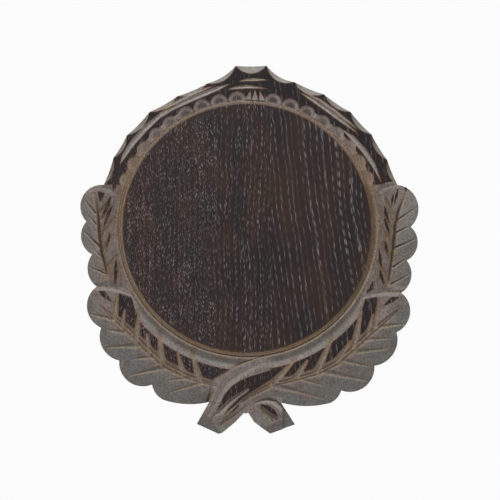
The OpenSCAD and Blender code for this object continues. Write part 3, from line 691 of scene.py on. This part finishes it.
def stained_edge(name, seed, dark, light):
    """The planed back and sawn edge of one stave, brushed with the same stain but not limed."""
    made, tree = blank_material(name)
    here = node(tree, "ShaderNodeTexCoord").outputs["Object"]
    at = node(tree, "ShaderNodeVectorMath", {"operation": "SCALE"}, i0=here,
              Scale=1000.0).outputs[0]
    broad = node(tree, "ShaderNodeMapping", {"vector_type": "POINT"}, Vector=at,
                 Location=(seed, seed, seed), Scale=(0.28, 0.28, 0.012)).outputs[0]
    figure = node(tree, "ShaderNodeTexNoise", Vector=broad, Scale=1.0, Detail=5.0, Roughness=0.6,
                  Distortion=0.4).outputs["Fac"]
    figure = node(tree, "ShaderNodeMapRange", Value=figure, From_Min=0.3, From_Max=0.7,
                  To_Min=0.0, To_Max=1.0).outputs[0]
    colour = node(tree, "ShaderNodeMix", {"data_type": "RGBA"}, i0=figure, i6=linear(dark),
                  i7=linear(light)).outputs[2]
    # Open pores: short dark dashes along the grain, drawn 0.5 mm wide.
    cell = node(tree, "ShaderNodeMapping", {"vector_type": "POINT"}, Vector=at,
                Location=(seed, 0, seed), Scale=(1.6, 1.6, 0.2)).outputs[0]
    pores = node(tree, "ShaderNodeTexVoronoi", {"feature": "F1"}, Vector=cell, Scale=1.0)
    pit = node(tree, "ShaderNodeMapRange", Value=pores.outputs["Distance"], From_Min=0.2,
               From_Max=0.4, To_Min=1.0, To_Max=0.0).outputs[0]
    pit = node(tree, "ShaderNodeMath", {"operation": "MULTIPLY"}, i0=pit, i1=figure).outputs[0]
    colour = node(tree, "ShaderNodeMix", {"data_type": "RGBA"}, i0=pit, i6=colour,
                  i7=linear("#171212")).outputs[2]
    height = node(tree, "ShaderNodeMath", {"operation": "SUBTRACT"}, i0=figure, i1=pit).outputs[0]
    bump = node(tree, "ShaderNodeBump", Height=height, Strength=0.4, Distance=0.0003).outputs[0]
    shader = node(tree, "ShaderNodeBsdfPrincipled", Base_Color=colour, Roughness=0.7,
                  Specular_IOR_Level=0.3, Normal=bump)
    node(tree, "ShaderNodeOutputMaterial", Surface=shader.outputs[0])
    return made


def raw_oak():
    """Routed oak with no finish: pale tan with darker pores."""
    made, tree = blank_material("raw_oak")
    here = node(tree, "ShaderNodeTexCoord").outputs["Object"]
    strand = node(tree, "ShaderNodeMapping", {"vector_type": "POINT"}, Vector=here,
                  Scale=(1500, 1500, 110)).outputs[0]
    fibre = node(tree, "ShaderNodeTexNoise", Vector=strand, Scale=1.0, Detail=4.0,
                 Roughness=0.65).outputs["Fac"]
    colour = node(tree, "ShaderNodeMix", {"data_type": "RGBA"}, i0=fibre, i6=linear("#8c6a45"),
                  i7=linear("#caa679")).outputs[2]
    bump = node(tree, "ShaderNodeBump", Height=fibre, Strength=0.4, Distance=0.0003).outputs[0]
    shader = node(tree, "ShaderNodeBsdfPrincipled", Base_Color=colour, Roughness=0.75, Normal=bump)
    node(tree, "ShaderNodeOutputMaterial", Surface=shader.outputs[0])
    return made


pocket_oak = raw_oak()


# The pocket routed into the back for the hanger, and a reach that is deeper than the pilot holes
# in its floor.
pocket_w = 24.0
pocket_low = 36.0
pocket_high = 90.0
pocket_reach = 17.5
# The front is cut into squares of this pitch, and outside the field into edges no longer than this.
square_pitch = 3.2
finest_edge = 0.6
# Whatever stands further forward than this is uncut front.
front_y = -(board_t - 0.001) * mm


def front_faces(work):
    """Faces of the uncut front."""
    return [f for f in work.faces if all(v.co.y < front_y for v in f.verts)]


def sawn_blank(name):
    """One stave as sawn, with a flat front: its outline, and the pocket behind, are the frame's."""
    work = bmesh.new()
    work.from_mesh(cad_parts[name].data)
    bmesh.ops.remove_doubles(work, verts=work.verts, dist=1e-6)
    on_back = {v for v in work.verts if abs(v.co.y) < 1e-6}
    in_pocket = {v for v in work.verts
                 if abs(v.co.x) < (pocket_w / 2 + 0.01) * mm and v.co.y > -pocket_reach * mm
                 and (pocket_low - 1) * mm < v.co.z < (pocket_high + 1) * mm}
    rims = [e for e in work.edges if e.verts[0] in on_back and e.verts[1] in on_back
            and any(any(v not in on_back for v in f.verts) for f in e.link_faces)]
    outer = [e for e in rims if not (e.verts[0] in in_pocket and e.verts[1] in in_pocket)]
    hollow = [f for f in work.faces if all(v in in_pocket for v in f.verts)
              and not all(v in on_back for v in f.verts)]
    for f in hollow:
        f.material_index = 2
    kept_faces = set(hollow)
    kept_edges = set(rims) | {e for f in hollow for e in f.edges}
    bmesh.ops.delete(work, geom=[f for f in work.faces if f not in kept_faces],
                     context="FACES_ONLY")
    bmesh.ops.delete(work, geom=[e for e in work.edges if e not in kept_edges], context="EDGES")

    raised = bmesh.ops.extrude_edge_only(work, edges=outer)["geom"]
    for v in raised:
        if isinstance(v, bmesh.types.BMVert):
            v.co.y = -board_t * mm
    for f in raised:
        if isinstance(f, bmesh.types.BMFace):
            f.material_index = 1
    top = [e for e in raised if isinstance(e, bmesh.types.BMEdge)
           and all(abs(v.co.y + board_t * mm) < 1e-7 for v in e.verts)]
    back = [e for e in work.edges if all(abs(v.co.y) < 1e-7 for v in e.verts)
            and len(e.link_faces) == 1]
    bmesh.ops.triangle_fill(work, edges=back, use_beauty=True, normal=(0, 1, 0))
    for f in work.faces:
        if all(abs(v.co.y) < 1e-7 for v in f.verts):
            f.material_index = 1
    bmesh.ops.contextual_create(work, geom=top)["faces"][0].material_index = 0
    return work


def divide_front(work, name):
    """Divides the front finely enough to take the carving."""
    low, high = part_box(name)
    for axis, direction in ((0, (1, 0, 0)), (2, (0, 0, 1))):
        stop = math.ceil(low[axis] / (square_pitch * mm))
        while stop * square_pitch * mm < high[axis]:
            sheet = front_faces(work)
            geom = sheet + list({e for f in sheet for e in f.edges}) \
                + list({v for f in sheet for v in f.verts})
            bmesh.ops.bisect_plane(work, geom=geom, dist=1e-7,
                                   plane_co=[stop * square_pitch * mm * c for c in direction],
                                   plane_no=direction)
            stop += 1
    bmesh.ops.triangulate(work, faces=front_faces(work))
    for _ in range(4):
        long = [e for e in {e for f in front_faces(work) for e in f.edges}
                if e.calc_length() > finest_edge * mm
                and math.hypot(*((e.verts[0].co + e.verts[1].co) / 2).xz) > (field_r - 2) * mm]
        bmesh.ops.subdivide_edges(work, edges=long, cuts=1)
        bmesh.ops.triangulate(work, faces=[f for f in front_faces(work) if len(f.verts) > 3])


def carved_stave(name, face_oak, edge_oak):
    """Carves one stave's front, and gives each point of it the tones that the carving leaves."""
    work = sawn_blank(name)
    divide_front(work, name)
    for f in work.faces:
        f.smooth = True
    bmesh.ops.recalc_face_normals(work, faces=work.faces)
    for e in work.edges:
        slots = {f.material_index for f in e.link_faces}
        e.smooth = slots == {0} or (len(slots) == 1 and e.calc_face_angle(0) < 0.5)
    mesh = bpy.data.meshes.new(name + "_carved")
    work.to_mesh(mesh)
    work.free()

    place = np.empty(len(mesh.vertices) * 3)
    mesh.vertices.foreach_get("co", place)
    place = place.reshape(-1, 3)
    cutting = place[:, 1] < front_y
    depth, tones = carving(place[:, 0] / mm, place[:, 2] / mm)
    place[cutting, 1] += depth[cutting] * mm
    mesh.vertices.foreach_set("co", place.ravel())
    for label, tone in tones.items():
        layer = mesh.attributes.new(label, "FLOAT", "POINT")
        layer.data.foreach_set("value", np.where(cutting, tone, 0).astype(np.float32))
    for finish in (face_oak, edge_oak, pocket_oak):
        mesh.materials.append(finish)
    mesh.update()
    piece = bpy.data.objects.new(name + "_carved", mesh)
    bpy.context.scene.collection.objects.link(piece)
    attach(piece, "board")
    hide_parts(name)


left_oak = stained_oak("stained_oak_flecked", lean=0.01, row=3.4, pore_wide=0.5, pore_long=2.6,
                       crowd=(0.4, 0.75), scatter=0.7, seed=3.1)
left_edge = stained_edge("stained_oak_edge_left", 4.0, "#2d2321", "#4d3f38")
carved_stave("stave_left", left_oak, left_edge)

# ---------------------------------------------------------------------------
# The middle stave: straighter, slower-grown oak, so its pores stand in close upright rows.
# It carries the crossed stems and, behind, the pocket routed out for the hanger.
# ---------------------------------------------------------------------------
middle_oak = stained_oak("stained_oak_close_rowed", lean=0.0, row=3.3, pore_wide=0.5,
                         pore_long=4.0, crowd=(0.14, 0.72), scatter=0.5, seed=7.7)
middle_edge = stained_edge("stained_oak_edge_middle", 31.0, "#332623", "#59463c")
carved_stave("stave_middle", middle_oak, middle_edge)

# ---------------------------------------------------------------------------
# The right stave: oak whose grain leans to the left as it goes up, with long open pores that
# stand in rows a few millimetres apart. It is glued to the middle stave's straight edge.
# ---------------------------------------------------------------------------
right_oak = stained_oak("stained_oak_wide_rowed", lean=0.13, row=3.9, pore_wide=0.48,
                        pore_long=6.5, crowd=(-0.6, 1.4), scatter=0.35, seed=12.3)
right_edge = stained_edge("stained_oak_edge_right", 73.0, "#291f1e", "#473a35")
carved_stave("stave_right", right_oak, right_edge)

# ---------------------------------------------------------------------------
# The hanger's strap: a strip of mild steel folded round the ring's bar, so that both layers lie
# together on the pocket's floor. It is punched for two screws and then zinc plated.
# ---------------------------------------------------------------------------


def zinc_plate(name, rough):
    """Gives a steel piece bright zinc plating: a cool grey, slightly cloudy metal."""
    made, tree = blank_material("zinc_plated_" + name)
    here = node(tree, "ShaderNodeTexCoord").outputs["Object"]
    cloud = node(tree, "ShaderNodeTexNoise", Vector=here, Scale=600.0, Detail=3.0).outputs["Fac"]
    colour = node(tree, "ShaderNodeMix", {"data_type": "RGBA"}, i0=cloud, i6=linear("#a9a9a4"),
                  i7=linear("#c9cac7")).outputs[2]
    sheen = node(tree, "ShaderNodeMapRange", Value=cloud, From_Min=0.3, From_Max=0.7,
                 To_Min=rough - 0.06, To_Max=rough + 0.08).outputs[0]
    shader = node(tree, "ShaderNodeBsdfPrincipled", Base_Color=colour, Roughness=sheen,
                  Metallic=1.0)
    node(tree, "ShaderNodeOutputMaterial", Surface=shader.outputs[0])
    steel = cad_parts[name]
    steel.data.materials.clear()
    steel.data.materials.append(made)


zinc_plate("hanger_strap", 0.34)

# ---------------------------------------------------------------------------
# The hanger's ring: steel wire bent to a D, with its straight bar held in the strap's fold, where
# it swings. Drawn wire is smoother than rolled strip, so its plating is brighter.
# ---------------------------------------------------------------------------
zinc_plate("hanger_ring", 0.28)

# ---------------------------------------------------------------------------
# Two wood screws with domed, cross-recessed heads hold the strap in the pocket. Cold-headed
# steel, zinc plated.
# ---------------------------------------------------------------------------
for screw in ("hanger_screw_upper", "hanger_screw_lower"):
    zinc_plate(screw, 0.3)

# ---------------------------------------------------------------------------
# The studio: a sheet of white paper well below the plaque, and white walls all round. The camera
# sees both as evenly lit, but they give the plaque only a little light.
# ---------------------------------------------------------------------------
sheet = bmesh.new()
bmesh.ops.create_grid(sheet, x_segments=1, y_segments=1, size=3.5)
floor_mesh = bpy.data.meshes.new("studio_floor")
sheet.to_mesh(floor_mesh)
sheet.free()
floor = bpy.data.objects.new("studio_floor", floor_mesh)
floor.location = (0, 0, -0.5)
bpy.context.scene.collection.objects.link(floor)

# Matt white paper: most of what the camera sees of it is an even glow, and the rest is lit.
paper, tree = blank_material("white_paper")
seen = node(tree, "ShaderNodeLightPath").outputs["Is Camera Ray"]
mostly = node(tree, "ShaderNodeMath", {"operation": "MULTIPLY"}, i0=seen, i1=0.85).outputs[0]
matt = node(tree, "ShaderNodeBsdfPrincipled", Base_Color=linear("#f6f6f5"), Roughness=0.9)
glow = node(tree, "ShaderNodeEmission", Strength=1.05)
mixed = node(tree, "ShaderNodeMixShader", i0=mostly, i1=matt.outputs[0], i2=glow.outputs[0])
node(tree, "ShaderNodeOutputMaterial", Surface=mixed.outputs[0])
floor.data.materials.append(paper)

world = bpy.data.worlds.new("studio")
bpy.context.scene.world = world
world.use_nodes = True
tree = world.node_tree
tree.nodes.clear()
seen = node(tree, "ShaderNodeLightPath").outputs["Is Camera Ray"]
dim = node(tree, "ShaderNodeBackground", Color=linear("#ffffff"), Strength=0.11)
bright = node(tree, "ShaderNodeBackground", Color=linear("#ffffff"), Strength=0.97)
mixed = node(tree, "ShaderNodeMixShader", i0=seen, i1=dim.outputs[0], i2=bright.outputs[0])
node(tree, "ShaderNodeOutputWorld", Surface=mixed.outputs[0])

# ---------------------------------------------------------------------------
# Two square soft lamps: one above and in front, a little to the left, so that the carving throws
# short shadows, and one behind for the back and the hanger.
# ---------------------------------------------------------------------------


def softbox(name, place, size, power):
    """A square lamp that faces the plaque. Sizes are in metres, power in watts."""
    light = bpy.data.lights.new(name, "AREA")
    light.shape = "SQUARE"
    light.size = size
    light.energy = power
    stand = bpy.data.objects.new(name, light)
    stand.location = place
    stand.rotation_euler = (-Vector(place)).to_track_quat("-Z", "Y").to_euler()
    bpy.context.scene.collection.objects.link(stand)


softbox("softbox_above", (-0.1, -0.8, 1.1), 0.5, 15)
softbox("softbox_behind", (0.5, 1.1, 0.7), 0.7, 15)

# ---------------------------------------------------------------------------
# The camera looks straight at the front from 2 m, square to the board. The view takes in a third
# of a metre at the plaque.
# ---------------------------------------------------------------------------
camera_away = 2.0
view_w = 0.33333
camera = bpy.data.cameras.new("camera")
camera.sensor_width = 36
camera.lens = camera.sensor_width * camera_away / view_w
camera.clip_end = 20
eye = bpy.data.objects.new("camera", camera)
eye.location = (0.002, -board_t * mm - camera_away, -0.015)
eye.rotation_euler = (math.pi / 2, 0, 0)
bpy.context.scene.collection.objects.link(eye)
bpy.context.scene.camera = eye
bpy.context.scene.view_settings.view_transform = "Standard"
